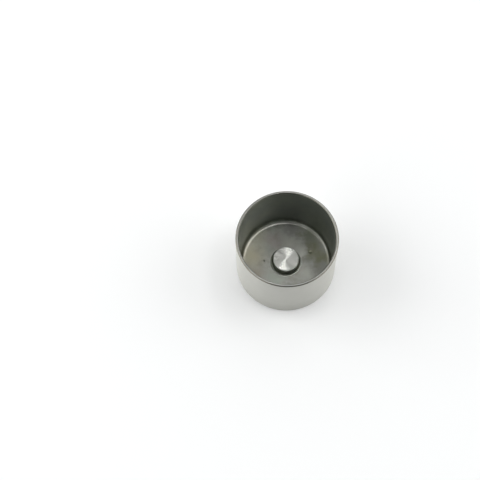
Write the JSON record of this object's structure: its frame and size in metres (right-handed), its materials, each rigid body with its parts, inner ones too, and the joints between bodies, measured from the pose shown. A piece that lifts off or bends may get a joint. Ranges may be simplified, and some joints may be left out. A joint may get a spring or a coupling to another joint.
{
  "type": "valve lifter bucket",
  "caption": "Plain steel cup that slides between a camshaft lobe and a valve stem, with a raised round pad on the inside of its closed end that takes the place of a valve shim.",
  "frame": {"origin": "centre of the closed end's outer face, which the camshaft lobe runs on and the part stands on", "axes": "+Z along the cup's axis, out of its open mouth; X and Y are free, because the part is round"},
  "size_m": [0.035, 0.035, 0.025],
  "materials": {
    "bucket_steel": "case-hardened steel, ground outside, turned on the pad and dull as forged inside"
  },
  "bodies": {
    "root": {"bucket": "bucket_steel"}
  },
  "joints": []
}
